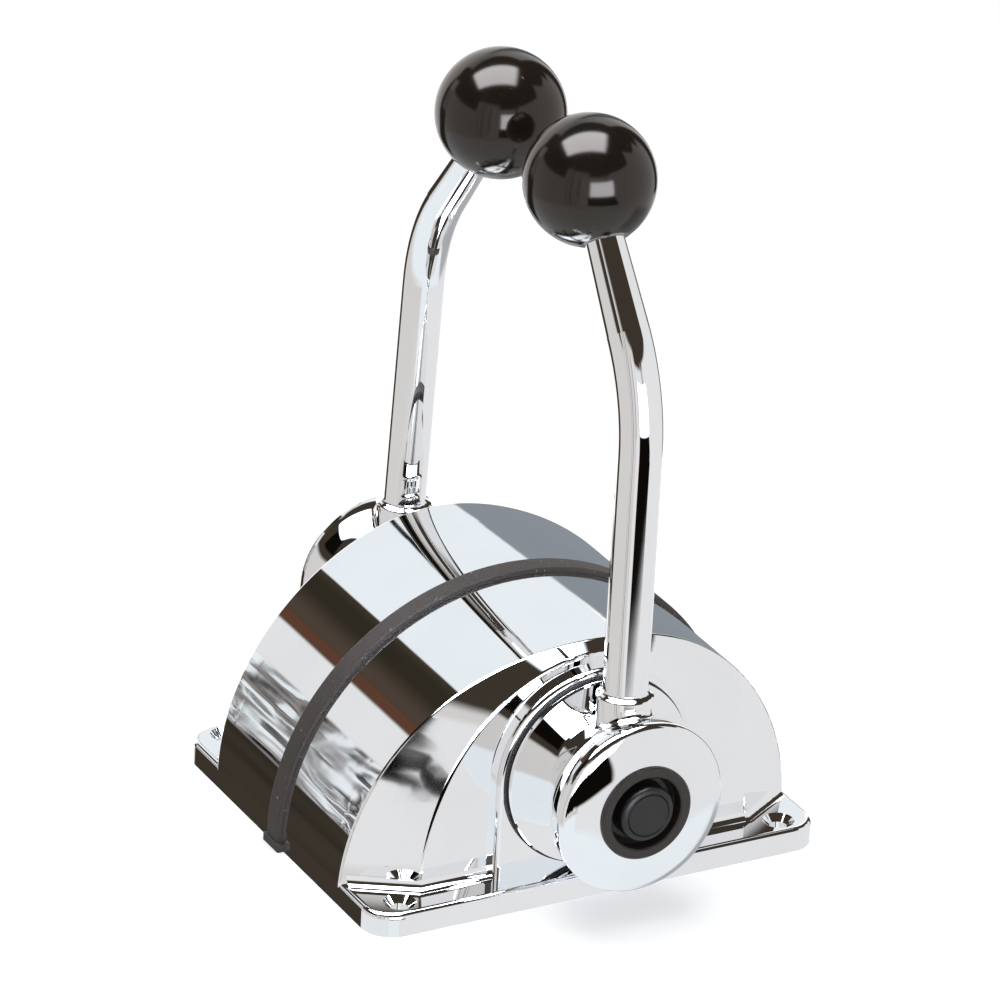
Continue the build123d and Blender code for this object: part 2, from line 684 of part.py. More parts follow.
# ---- Hub ---------------------------------------------------------------------
def hub_outline():
    """Half section of the bell-shaped hub, without its bores."""
    crown_edge = (hub_front - hub_crown, hub_rim_radius - hub_rim_rounding)
    crown_end = (hub_front, hub_well_radius)
    neck = (hub_disc_face, hub_neck_radius)
    rim = (hub_rim_outboard, hub_rim_radius)
    edge = hub_disc_edge_radius
    bell = Spline(neck, (hub_nut_seat, hub_waist_radius), rim, tangents=[(2, 1), (1, 0)])
    rounding = Spline(rim, crown_edge, tangents=[(1, 0), (0.25, -1)])
    crown = Spline(crown_edge, crown_end, tangents=[(0.25, -1), (0, -1)])
    disc = Polyline(
        crown_end,
        (hub_front, 0),
        (hub_back, 0),
        (hub_back, hub_disc_radius - edge),
        (hub_back + edge, hub_disc_radius),
        (hub_disc_face - edge, hub_disc_radius),
        (hub_disc_face, hub_disc_radius - edge),
        neck,
    )
    return make_face(bell.edges() + rounding.edges() + crown.edges() + disc.edges())


def leaves_bell(edge):
    """True for the closed curve where the boss for the arm leaves the bell."""
    height = edge.center().Z - lever_axis_height
    on_bell = hub_neck_radius < height < hub_boss_height - cut_margin
    return on_bell and edge.geom_type not in (GeomType.CIRCLE, GeomType.LINE)


def lever_hub():
    """Bell-shaped hub with its round base plate and the boss that takes the arm."""
    hub = revolve(TURNING * hub_outline(), LEVER_AXIS)
    boss_length = hub_boss_height - lever_spigot_bottom
    hub += leaned(on_lever(lever_spigot_bottom) * Cylinder(hub_boss_radius, boss_length, align=FROM_BOTTOM))
    hub = fillet(hub.edges().filter_by(leaves_bell), hub_boss_fillet)
    hub -= rod(hub_back - cut_margin, hub_disc_face, shaft_radius + fitted_clearance)
    hub -= flatted(hub_disc_face, hub_nut_seat + cut_margin, fitted_clearance)
    hub -= rod(hub_nut_seat, hub_front + cut_margin, hub_well_radius)
    hub -= rod(bezel_seat, hub_front + cut_margin, hub_bezel_radius)
    socket = Cylinder(lever_spigot_radius + fitted_clearance, hub_boss_height, align=FROM_BOTTOM)
    return hub - leaned(on_lever(lever_spigot_bottom - slide_clearance) * socket)


def hub_bezel():
    """Black ring let into the hub, with a deep groove round the button."""
    front = hub_front + bezel_lip
    sleeve_radius = hub_bezel_radius - fitted_clearance
    button_hole = button_radius + slide_clearance
    return turned(
        (bezel_seat, hub_well_radius),
        (bezel_floor_back, hub_well_radius),
        (bezel_floor_back, button_hole),
        (bezel_floor, button_hole),
        (bezel_floor, bezel_well_radius - bezel_well_chamfer),
        (bezel_floor + bezel_well_chamfer, bezel_well_radius),
        (front - bezel_lip_radius, bezel_well_radius),
        (front, bezel_well_radius + bezel_lip_radius),
        (front, bezel_radius - bezel_lip_radius),
        (front - bezel_lip_radius, bezel_radius),
        (hub_front, bezel_radius),
        (hub_front, sleeve_radius),
        (bezel_seat, sleeve_radius),
    )


# ---- Push button -------------------------------------------------------------
def button_cap():
    """Domed cap with a flange that stops behind the bezel's floor."""
    back = button_flange_face - button_flange_thickness
    shoulder = (button_face - button_shoulder_height, button_radius)
    ring_edge = (button_face, button_ring_radius)
    outline = Polyline(
        (back, button_inner_radius),
        (back, button_flange_radius),
        (button_flange_face, button_flange_radius),
        (button_flange_face, button_radius),
        shoulder,
    )
    crown = Spline(shoulder, ring_edge, tangents=[(1, 0), (0.15, -1)])
    inside = Polyline(
        ring_edge,
        (button_face - button_ring_depth, button_ring_radius - button_ring_width / 2),
        (button_face, button_ring_radius - button_ring_width),
        (button_face + button_ring_depth, 0),
        (button_inner_face, 0),
        (button_inner_face, button_inner_radius),
        (back, button_inner_radius),
    )
    cap = revolve(TURNING * make_face(outline.edges() + crown.edges() + inside.edges()), LEVER_AXIS)
    boss_start = button_inner_face - button_boss_length
    cap += rod(boss_start, button_inner_face, button_boss_radius)
    rod_hole = button_rod_diameter / 2 + fitted_clearance
    return cap - rod(boss_start - cut_margin, button_inner_face + cut_margin, rod_hole)


def across_shaft(radius, length):
    """Bar lying fore and aft across the shaft at the clutch."""
    return Pos(0, -clutch_pin_outboard, lever_axis_height) * Rot(0, 90, 0) * Cylinder(radius, length)


def button_rod():
    """Push rod from the cap through the shaft to the clutch pin."""
    bar = rod(clutch_pin_outboard - button_rod_tail, button_inner_face + cut_margin, button_rod_diameter / 2)
    return bar - across_shaft(clutch_pin_diameter / 2 + fitted_clearance, shaft_diameter)


def button_spring():
    """Return spring between the hub nut and the cap."""
    start = hub_nut_face + slide_clearance
    length = button_inner_face - slide_clearance - start
    spring = coil(spring_mean_radius, spring_wire, length, spring_turns)
    return Pos(0, -start, lever_axis_height) * Rot(90, 0, 0) * spring


# ---- Assembly ----------------------------------------------------------------
one_side = {
    "housing": housing(),
    "shaft_bushing": shaft_bushing(),
    "hub_seal": hub_seal(),
    "thrust_washer": thrust_washer(),
    "drive_shaft": drive_shaft(),
    "shaft_nut": nut(shaft_nut_face, throttle_arm_inboard, shaft_nut_width, shaft_thread_diameter),
    "throttle_arm": throttle_arm(),
    "shift_arm": shift_arm(),
    "detent_plunger": detent_plunger(),
    "detent_ball": detent_ball(),
    "detent_spring": detent_spring(),
    "friction_pad": friction_pad(),
    "friction_screw": friction_screw(),
    "lever_hub": lever_hub(),
    "hub_nut": nut(hub_nut_seat, hub_nut_face, hub_nut_width, hub_thread_diameter),
    "hub_bezel": hub_bezel(),
    "lever_arm": lever_arm(),
    "ball_knob": ball_knob(),
    "knob_stud": knob_stud(),
    "button_cap": button_cap(),
    "button_rod": button_rod(),
    "clutch_pin": across_shaft(clutch_pin_diameter / 2, clutch_pin_length),
    "button_spring": button_spring(),
}
pieces = {"centre_trim": centre_trim(), "tie_screws": tie_screws(), "tie_nuts": tie_nuts()}
for name, shape in one_side.items():
    pieces["starboard_" + name] = shape
    pieces["port_" + name] = mirror(shape, about=Plane.XZ)

os.makedirs("parts", exist_ok=True)
for name, shape in pieces.items():
    export_step(shape, f"parts/{name}.step")
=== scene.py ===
import math

import bmesh
import bpy
from bpy.props import FloatProperty, FloatVectorProperty, IntProperty, PointerProperty
from bpy.types import Operator, Panel, PropertyGroup
from mathutils import Color, Matrix, Vector


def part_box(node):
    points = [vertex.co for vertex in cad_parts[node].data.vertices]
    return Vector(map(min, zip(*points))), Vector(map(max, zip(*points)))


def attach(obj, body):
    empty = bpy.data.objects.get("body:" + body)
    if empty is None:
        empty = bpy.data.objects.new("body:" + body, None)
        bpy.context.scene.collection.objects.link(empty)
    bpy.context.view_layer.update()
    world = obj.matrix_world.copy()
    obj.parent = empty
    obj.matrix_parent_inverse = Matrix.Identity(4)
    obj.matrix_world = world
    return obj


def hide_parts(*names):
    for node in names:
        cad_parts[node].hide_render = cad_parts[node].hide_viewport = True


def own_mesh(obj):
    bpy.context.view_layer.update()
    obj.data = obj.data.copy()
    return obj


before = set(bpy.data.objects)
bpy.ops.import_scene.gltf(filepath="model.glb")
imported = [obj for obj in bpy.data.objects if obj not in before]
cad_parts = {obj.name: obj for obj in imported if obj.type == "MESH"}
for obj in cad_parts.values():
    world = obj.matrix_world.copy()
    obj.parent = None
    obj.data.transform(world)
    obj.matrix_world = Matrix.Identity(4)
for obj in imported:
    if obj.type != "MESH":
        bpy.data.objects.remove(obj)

bl_info = {
    "name": "Twin helm control",
    "version": (1, 0, 0),
    "blender": (4, 5, 0),
    "location": "3D View > Sidebar > Helm control",
    "description": "Finishes a twin throttle and shift control for a boat and sets up its studio",
    "category": "Object",
}

# Axes of the control: +X is ahead, +Z is up, and the starboard side faces -Y.
SIDES = {"starboard": -1, "port": 1}
FULL_TURN = 2 * math.pi

# A Mix node has sockets for every kind of value, and these are the ones for colours.
MIX_SHARE, MIX_LOW, MIX_HIGH, MIX_RESULT = 0, 6, 7, 2
# The shader inputs of a Mix Shader node share one name, so they go by their order.
SHADER_SHARE, SHADER_LOW, SHADER_HIGH = 0, 1, 2


# ---- Settings ----------------------------------------------------------------
def colour_property(name, description, default):
    return FloatVectorProperty(name=name, description=description, default=default,
                               subtype="COLOR", size=3, min=0.0, max=1.0)


class ChromeSettings(PropertyGroup):
    """Polished chrome plate on the housings, hubs and lever arms."""
    colour: colour_property("Colour", "Colour of the plate", (0.93, 0.935, 0.945))
    roughness: FloatProperty(name="Roughness", description="Haze of the polish",
                             default=0.015, min=0.0, max=1.0, subtype="FACTOR")
    ripple: FloatProperty(name="Ripple", description="Depth of the casting's waviness under the plate",
                          default=0.000006, min=0.0, unit="LENGTH")
    ripple_length: FloatProperty(name="Ripple length", description="Distance between the waves",
                                 default=0.016, min=0.001, unit="LENGTH")
    haze: FloatProperty(name="Haze", description="Roughness that the hazy patches add",
                        default=0.02, min=0.0, max=1.0, subtype="FACTOR")
    haze_length: FloatProperty(name="Haze length", description="Distance between the hazy patches",
                               default=0.03, min=0.001, unit="LENGTH")


class PlasticSettings(PropertyGroup):
    """Black plastics of the knobs, bezels and button caps."""
    knob: colour_property("Knob", "Colour of the moulded knobs", (0.0105, 0.0080, 0.0062))
    knob_roughness: FloatProperty(name="Knob roughness", description="Haze of the knobs' polish",
                                  default=0.10, min=0.0, max=1.0, subtype="FACTOR")
    gloss: colour_property("Gloss", "Tint of what the knobs reflect", (1.0, 0.90, 0.80))
    bezel: colour_property("Bezel", "Colour of the button's bezel", (0.024, 0.018, 0.015))
    cap: colour_property("Cap", "Colour of the button's cap", (0.009, 0.008, 0.0075))
    knob_index: FloatProperty(name="Knob index", description="Index of refraction of the knobs",
                              default=1.55, min=1.0)
    satin: FloatProperty(name="Satin", description="Roughness of the bezel and the cap",
                         default=0.36, min=0.0, max=1.0, subtype="FACTOR")


class RubberSettings(PropertyGroup):
    """Centre trim and the seals behind the hubs."""
    trim: colour_property("Trim", "Colour of the centre trim", (0.040, 0.032, 0.028))
    seal: colour_property("Seal", "Colour of the hub seals", (0.012, 0.011, 0.011))
    dust: colour_property("Dust", "Colour of the specks on the rubber", (0.30, 0.27, 0.25))
    grain: FloatProperty(name="Grain", description="Size of the moulded grain",
                         default=0.0006, min=0.0001, unit="LENGTH")


class WorksSettings(PropertyGroup):
    """Metals and nylon inside the housings."""
    steel: colour_property("Steel", "Colour of stainless steel", (0.58, 0.57, 0.55))
    spring: colour_property("Spring", "Colour of spring wire", (0.36, 0.35, 0.34))
    bronze: colour_property("Bronze", "Colour of sintered bronze", (0.50, 0.33, 0.17))
    nylon: colour_property("Nylon", "Colour of natural nylon", (0.74, 0.70, 0.60))
    turning: FloatProperty(name="Turning", description="Pitch of the marks that the lathe left",
                           default=0.0005, min=0.0001, unit="LENGTH")
    steel_roughness: FloatProperty(name="Steel roughness", description="Haze of the turned steel",
                                   default=0.22, min=0.0, max=1.0, subtype="FACTOR")
    spring_roughness: FloatProperty(name="Spring roughness", description="Haze of the detents' springs",
                                    default=0.3, min=0.0, max=1.0, subtype="FACTOR")


class SpringSettings(PropertyGroup):
    """Return springs of the push buttons."""
    wire: FloatProperty(name="Wire", description="Diameter of the wire", default=0.0009,
                        min=0.0001, unit="LENGTH")
    turns: FloatProperty(name="Turns", description="Working turns", default=4.5, min=1.0)
    steps: IntProperty(name="Steps", description="Points along each turn", default=28, min=8)
    sections: IntProperty(name="Sections", description="Points round the wire", default=10, min=5)
    roughness: FloatProperty(name="Roughness", description="Haze of the drawn wire",
                             default=0.28, min=0.0, max=1.0, subtype="FACTOR")
    travel: FloatProperty(name="Travel", description="How far the button presses the spring together",
                          default=0.0035, min=0.0001, unit="LENGTH")


class CoveSettings(PropertyGroup):
    """Coves at the feet of the bevels on the side astern."""
    radius: FloatProperty(name="Radius", description="Radius of the cove", default=0.0035,
                          min=0.0005, unit="LENGTH")
    steps: IntProperty(name="Steps", description="Facets round the cove", default=12, min=3)
    panel: FloatProperty(name="Panel", description="Flat panel, from the centreline", default=0.061,
                         unit="LENGTH")
    flange: FloatProperty(name="Flange", description="Top of the flange", default=0.0085, unit="LENGTH")
    pad: FloatProperty(name="Pad", description="Side of the bearing pad, from the lever axis",
                       default=0.0368, unit="LENGTH")
    corner: FloatProperty(name="Corner", description="Foot of the panel's end, from the lever axis",
                          default=0.063, unit="LENGTH")
    rim: FloatProperty(name="Rim", description="Where the flange starts to round off",
                       default=0.0845, unit="LENGTH")
    slope: FloatProperty(name="Slope", description="Growth of the bevel's foot for each length inboard",
                         default=1.65)
    sunk: FloatProperty(name="Sunk", description="Depth of the cove's back edge in the metal",
                        default=0.0003, unit="LENGTH")
    crease: FloatProperty(name="Crease", description="Angle from which an edge stays sharp",
                          default=math.radians(25), subtype="ANGLE")


class StudioSettings(PropertyGroup):
    """Camera, floor and lights."""
    azimuth: FloatProperty(name="Azimuth", description="Heading of the view, 0 looks along +Y",
                           default=math.radians(-29.31), subtype="ANGLE")
    elevation: FloatProperty(name="Elevation", description="Height of the view above the horizon",
                             default=math.radians(25.44), subtype="ANGLE")
    roll: FloatProperty(name="Roll", description="Turn of the camera about its own line of sight",
                        default=math.radians(2.89), subtype="ANGLE")
    distance: FloatProperty(name="Distance", description="From the camera to the point it looks at",
                            default=2.4, min=0.1, unit="LENGTH")
    aim: FloatVectorProperty(name="Aim", description="Point that the camera looks at",
                             default=(-0.0019, 0.0065, 0.1126), size=3, subtype="TRANSLATION")
    field: FloatProperty(name="Field of view", description="Angle across the frame",
                         default=math.radians(8.147), subtype="ANGLE")
    floor_width: FloatProperty(name="Floor", description="Width of the floor",
                               default=12.0, min=1.0, unit="LENGTH")
    floor: colour_property("Floor colour", "Colour of the floor", (0.80, 0.80, 0.80))
    backdrop: colour_property("Backdrop", "Colour that the camera sees behind the floor", (1.0, 1.0, 1.0))
    glow: FloatProperty(name="Glow", description="Light that the camera alone sees on the floor",
                        default=0.35, min=0.0)
    ambient: FloatProperty(name="Ambient", description="Strength of the soft light from all round",
                           default=0.55, min=0.0)
    key: FloatProperty(name="Key light", description="Power of the box above the control",
                       default=9.0, min=0.0, unit="POWER")
    key_width: FloatProperty(name="Key width", description="Width of the box above the control",
                             default=0.9, min=0.05, unit="LENGTH")
    key_place: FloatVectorProperty(name="Key place", description="Where the box above the control hangs",
                                   default=(-0.1, 0.1, 1.3), size=3, subtype="TRANSLATION")


SETTINGS = {
    "helm_chrome": ChromeSettings,
    "helm_plastic": PlasticSettings,
    "helm_rubber": RubberSettings,
    "helm_works": WorksSettings,
    "helm_spring": SpringSettings,
    "helm_cove": CoveSettings,
    "helm_studio": StudioSettings,
}


# ---- Shader arithmetic -------------------------------------------------------
class Shade:
    """A shader socket that takes part in Python arithmetic."""

    def __init__(self, tree, socket):
        self.tree = tree
        self.socket = socket

    def other(self, name):
        """Another output of the node that this socket belongs to."""
        return Shade(self.tree, self.socket.node.outputs[name])

    def __add__(self, value):
        return self.tree.maths("ADD", self, value)

    def __radd__(self, value):
        return self.tree.maths("ADD", value, self)

    def __sub__(self, value):
        return self.tree.maths("SUBTRACT", self, value)

    def __rsub__(self, value):
        return self.tree.maths("SUBTRACT", value, self)

    def __mul__(self, value):
        return self.tree.maths("MULTIPLY", self, value)

    def __rmul__(self, value):
        return self.tree.maths("MULTIPLY", value, self)

    def __truediv__(self, value):
        return self.tree.maths("DIVIDE", self, value)

    def __rtruediv__(self, value):
        return self.tree.maths("DIVIDE", value, self)

    def __abs__(self):
        return self.tree.maths("ABSOLUTE", self)

    def above(self, edge, blur):
        """0 below `edge` and 1 above it, with a soft step `blur` wide on either side."""
        limits = {"Value": self, "From Min": edge - blur, "From Max": edge + blur}
        return self.tree.node("ShaderNodeMapRange", {"interpolation_type": "SMOOTHSTEP"}, limits, "Result")

    def within(self, low, high, blur):
        """1 between two edges and 0 outside them."""
        return self.above(low, blur) * (1 - self.above(high, blur))


class Tree:
    """Node tree of a material or a world, emptied and filled again."""

    def __init__(self, owner):
        owner.use_nodes = True
        self.nodes = owner.node_tree.nodes
        self.links = owner.node_tree.links
        self.nodes.clear()

    def node(self, kind, settings, inputs, output):
        """Adds a node, first its settings, then its inputs, and returns one output."""
        made = self.nodes.new(kind)
        for name, value in settings.items():
            if name == "stops":
                self.fill_ramp(made.color_ramp, value)
            else:
                setattr(made, name, value)
        for name, value in inputs.items():
            if isinstance(value, Shade):
                self.links.new(value.socket, made.inputs[name])
            elif isinstance(value, (tuple, Color)) and made.inputs[name].type == "RGBA":
                made.inputs[name].default_value = (*value, 1.0)
            else:
                made.inputs[name].default_value = value
        return None if output is None else Shade(self, made.outputs[output])

    def close(self, kind, shader):
        """Adds the tree's output node and links the shader to it."""
        self.node(kind, {}, {"Surface": shader}, None)

    @staticmethod
    def fill_ramp(ramp, stops):
        """Sets a ramp's stops, from left to right."""
        for place, (position, colour) in enumerate(stops):
            if place < len(ramp.elements):
                ramp.elements[place].position = position
            else:
                ramp.elements.new(position)
            ramp.elements[place].color = (*colour, 1.0)

    def maths(self, operation, *values):
        return self.node("ShaderNodeMath", {"operation": operation}, dict(enumerate(values)), "Value")

    def mix(self, share, low, high):
        """Colour that goes from `low` to `high` as `share` goes from 0 to 1."""
        inputs = {MIX_SHARE: share, MIX_LOW: low, MIX_HIGH: high}
        return self.node("ShaderNodeMix", {"data_type": "RGBA"}, inputs, MIX_RESULT)

    def noise(self, place, length, detail, distortion=0.0):
        """Noise whose features are about `length` apart."""
        inputs = {"Vector": place, "Scale": 1 / length, "Detail": detail, "Distortion": distortion}
        return self.node("ShaderNodeTexNoise", {}, inputs, "Fac")

    def place(self):
        """Position on the piece, in metres."""
        return self.node("ShaderNodeTexCoord", {}, {}, "Object")

    def bump(self, height, depth):
        """Normal of a relief whose height of 1 stands `depth` metres high."""
        inputs = {"Height": height, "Strength": 1.0, "Distance": depth}
        return self.node("ShaderNodeBump", {}, inputs, "Normal")


def surface(name, paint):
    """Material whose main shader gets what `paint(tree)` returns."""
    material = bpy.data.materials.new(name)
    tree = Tree(material)
    tree.close("ShaderNodeOutputMaterial", tree.node("ShaderNodeBsdfPrincipled", {}, paint(tree), "BSDF"))
    return material


# ---- Finishes ----------------------------------------------------------------
def polished_chrome(name, settings):
    """Mirror plate over a faintly wavy casting, hazy in patches."""
    def paint(tree):
        place = tree.place()
        ripple = tree.noise(place, settings.ripple_length, detail=1.5)
        haze = tree.noise(place, settings.haze_length, detail=4.0).above(edge=0.55, blur=0.2)
        hazy_colour = settings.colour * 0.97
        return {
            "Base Color": tree.mix(haze, settings.colour, hazy_colour),
            "Metallic": 1.0,
            "Roughness": settings.roughness + haze * settings.haze,
            "Normal": tree.bump(ripple, settings.ripple),
        }
    return surface(name, paint)


def black_phenolic(settings):
    """Polished moulding with cloudy colour and a few fine pits."""
    def paint(tree):
        place = tree.place()
        cloud = tree.noise(place, length=0.012, detail=3.0)
        pits = tree.noise(place, length=0.0011, detail=2.0).above(edge=0.74, blur=0.03)
        cloudy_colour = settings.knob * 1.5
        cloud_roughness, pit_roughness = 0.04, 0.2
        cloud_height, pit_depth = 0.4, 0.25
        return {
            "Base Color": tree.mix(cloud, settings.knob, cloudy_colour),
            "Roughness": settings.knob_roughness + cloud * cloud_roughness + pits * pit_roughness,
            "Normal": tree.bump(cloud * cloud_height - pits * pit_depth, depth=0.00001),
            "IOR": settings.knob_index,
            "Specular Tint": settings.gloss,
        }
    return surface("black_phenolic", paint)


def satin_plastic(name, colour, settings):
    """Fine-grained moulding that is a little paler where fingers rub it."""
    def paint(tree):
        place = tree.place()
        grain = tree.noise(place, length=0.00035, detail=2.0)
        wear = tree.noise(place, length=0.006, detail=3.0)
        worn_colour, worn_roughness = colour * 1.35, 0.08
        return {
            "Base Color": tree.mix(wear, colour, worn_colour),
            "Roughness": settings.satin + wear * worn_roughness,
            "Normal": tree.bump(grain, depth=0.00002),
        }
    return surface(name, paint)


def moulded_rubber(name, colour, settings):
    """Grained rubber in two shades, with specks of dust."""
    def paint(tree):
        place = tree.place()
        grain = tree.noise(place, settings.grain, detail=3.0)
        patches = tree.noise(place, length=0.014, detail=3.0)
        specks = tree.noise(place, length=0.0012, detail=1.0).above(edge=0.755, blur=0.012)
        dark_colour, light_colour = colour * 0.85, colour * 1.15
        roughness, patch_roughness = 0.52, 0.1
        return {
            "Base Color": tree.mix(specks, tree.mix(patches, dark_colour, light_colour), settings.dust),
            "Roughness": roughness + patches * patch_roughness,
            "Normal": tree.bump(grain, depth=0.00005),
        }
    return surface(name, paint)


def machined_metal(name, colour, roughness, settings):
    """Turned metal, with fine rings about the shaft's axis."""
    def paint(tree):
        place = tree.place()
        rings = tree.node("ShaderNodeTexWave", {"wave_type": "BANDS", "bands_direction": "Y"},
                          {"Vector": place, "Scale": 1 / settings.turning / FULL_TURN,
                           "Distortion": 1.5, "Detail": 2.0}, "Fac")
        stain = tree.noise(place, length=0.008, detail=4.0)
        stained_colour = colour * 0.85
        stain_roughness, ring_roughness = 0.12, 0.05
        return {
            "Base Color": tree.mix(stain, stained_colour, colour),
            "Metallic": 1.0,
            "Roughness": roughness + stain * stain_roughness + rings * ring_roughness,
            "Normal": tree.bump(rings, depth=0.00001),
        }
    return surface(name, paint)


def sintered_bronze(settings):
    """Porous bronze that has soaked up oil."""
    def paint(tree):
        place = tree.place()
        pores = tree.noise(place, length=0.0007, detail=2.0).above(edge=0.62, blur=0.04)
        oil = tree.noise(place, length=0.007, detail=3.0)
        oily_colour, pore_colour = settings.bronze * 0.7, settings.bronze * 0.35
        roughness, pore_roughness = 0.34, 0.3
        return {
            "Base Color": tree.mix(pores, tree.mix(oil, settings.bronze, oily_colour), pore_colour),
            "Metallic": 1.0,
            "Roughness": roughness + pores * pore_roughness,
            "Normal": tree.bump(1 - pores, depth=0.00003),
        }
    return surface("sintered_bronze", paint)


def natural_nylon(settings):
    """Off-white nylon, slightly cloudy."""
    def paint(tree):
        place = tree.place()
        cloud = tree.noise(place, length=0.004, detail=3.0)
        cloudy_colour = settings.nylon * 0.88
        roughness, cloud_roughness = 0.42, 0.12
        return {
            "Base Color": tree.mix(cloud, settings.nylon, cloudy_colour),
            "Roughness": roughness + cloud * cloud_roughness,
            "Normal": tree.bump(cloud, depth=0.00003),
        }
    return surface("natural_nylon", paint)


def finish_nodes(material, *kinds):
    """Gives the material to each frame node that ends in one of these kinds."""
    found = [node for name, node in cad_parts.items() if name.endswith(kinds)]
    if not found:
        raise RuntimeError(f"the frame has none of {kinds}")
    for node in found:
        for slot in node.material_slots:
            slot.material = material


# ---- Pieces ------------------------------------------------------------------
def add_piece(context, mesh, material):
    """Object of the mesh's own name, in the scene and with its material."""
    piece = bpy.data.objects.new(mesh.name, mesh)
    context.scene.collection.objects.link(piece)
    mesh.materials.append(material)
    return piece


def skin(name, rings):
    """Smooth closed mesh through rings of equally many points, with a cap at both ends."""
    points = [point for ring in rings for point in ring]
    count = len(rings[0])
    last = len(points) - count
    faces = [tuple(range(count)), tuple(range(last, len(points)))]
    for start in range(0, last, count):
        for corner in range(count):
            following = (corner + 1) % count
            faces.append((start + corner, start + following,
                          start + count + following, start + count + corner))
    shaped = bmesh.new()
    verts = [shaped.verts.new(point) for point in points]
    for face in faces:
        shaped.faces.new([verts[place] for place in face])
    bmesh.ops.recalc_face_normals(shaped, faces=shaped.faces)
    mesh = bpy.data.meshes.new(name)
    shaped.to_mesh(mesh)
    shaped.free()
    mesh.shade_smooth()
    return mesh


class HELM_OT_housings(Operator):
    """Chrome the two half shells."""
    bl_idname = "helm.housings"
    bl_label = "Housings"

    def execute(self, context):
        finish_nodes(polished_chrome("housing_chrome", context.scene.helm_chrome), "housing")
        return {"FINISHED"}


class HELM_OT_lever_hubs(Operator):
    """Chrome the bell hubs that carry the arms."""
    bl_idname = "helm.lever_hubs"
    bl_label = "Lever hubs"

    def execute(self, context):
        finish_nodes(polished_chrome("hub_chrome", context.scene.helm_chrome), "lever_hub")
        return {"FINISHED"}


class HELM_OT_lever_arms(Operator):
    """Chrome the bent arms."""
    bl_idname = "helm.lever_arms"
    bl_label = "Lever arms"

    def execute(self, context):
        finish_nodes(polished_chrome("arm_chrome", context.scene.helm_chrome), "lever_arm")
        return {"FINISHED"}


class HELM_OT_foot_coves(Operator):
    """Fill the corners where the bevels stand on the flange, astern of the pads."""
    bl_idname = "helm.foot_coves"
    bl_label = "Foot coves"

    def execute(self, context):
        settings = context.scene.helm_cove
        chrome = polished_chrome("cove_chrome", context.scene.helm_chrome)
        for side, direction in SIDES.items():
            mesh = skin(f"{side}_foot_cove", self.sections(direction, settings))
            mesh.set_sharp_from_angle(angle=settings.crease)
            cove = add_piece(context, mesh, chrome)
            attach(cove, "base")
        return {"FINISHED"}

    def sections(self, direction, settings):
        """The cove's profile by the pad, at the corner of the bevel and at the rim."""
        profile = self.profile(settings)
        sections = []
        for foot, outward in self.stations(settings):
            places = [(foot + outward * away, settings.flange + rise) for away, rise in profile]
            sections.append([(place.x, direction * place.y, height) for place, height in places])
        return sections

    def stations(self, settings):
        """Foot of the wall and the way out of it, where a straight run of the cove ends."""
        square = Vector((0.0, 1.0))
        bevel = Vector((-1.0, settings.slope)).normalized()
        mitre = (square + bevel) / (1 + bevel.y)
        rim_panel = settings.panel - (settings.rim - settings.corner) / settings.slope
        return (
            (Vector((-settings.pad, settings.panel)), square),
            (Vector((-settings.corner, settings.panel)), mitre),
            (Vector((-settings.rim, rim_panel)), square / bevel.y),
        )

    def profile(self, settings):
        """Quarter round hollow from the flange up to the wall, closed inside the metal."""
        quarter = math.pi / 2
        turns = [quarter * step / settings.steps for step in range(settings.steps + 1)]
        hollow = [(settings.radius * (1 - math.cos(turn)), settings.radius * (1 - math.sin(turn)))
                  for turn in turns]
        return hollow + [(-settings.sunk, -settings.sunk)]


class HELM_OT_knobs(Operator):
    """Give the ball knobs their polished black plastic."""
    bl_idname = "helm.knobs"
    bl_label = "Knobs"

    def execute(self, context):
        finish_nodes(black_phenolic(context.scene.helm_plastic), "ball_knob")
        return {"FINISHED"}


class HELM_OT_buttons(Operator):
    """Finish the bezels and caps of the push buttons."""
    bl_idname = "helm.buttons"
    bl_label = "Buttons"

    def execute(self, context):
        settings = context.scene.helm_plastic
        finish_nodes(satin_plastic("bezel_plastic", settings.bezel, settings), "hub_bezel")
        finish_nodes(satin_plastic("cap_plastic", settings.cap, settings), "button_cap")
        return {"FINISHED"}


class HELM_OT_rubbers(Operator):
    """Finish the centre trim and the hub seals."""
    bl_idname = "helm.rubbers"
    bl_label = "Trim and seals"

    def execute(self, context):
        settings = context.scene.helm_rubber
        finish_nodes(moulded_rubber("trim_rubber_finish", settings.trim, settings), "centre_trim")
        finish_nodes(moulded_rubber("seal_rubber_finish", settings.seal, settings), "hub_seal")
        return {"FINISHED"}


class HELM_OT_works(Operator):
    """Finish the shafts, arms, bearings, detents and fasteners inside."""
    bl_idname = "helm.works"
    bl_label = "Works"

    def execute(self, context):
        settings = context.scene.helm_works
        steel = machined_metal("turned_steel", settings.steel, settings.steel_roughness, settings)
        wire = machined_metal("spring_wire", settings.spring, settings.spring_roughness, settings)
        finish_nodes(steel, "drive_shaft", "nut", "nuts", "screw", "screws", "knob_stud", "button_rod",
                     "clutch_pin", "throttle_arm", "shift_arm", "detent_plunger", "detent_ball")
        finish_nodes(wire, "detent_spring", "button_spring")
        finish_nodes(sintered_bronze(settings), "shaft_bushing")
        finish_nodes(natural_nylon(settings), "thrust_washer", "friction_pad")
        return {"FINISHED"}


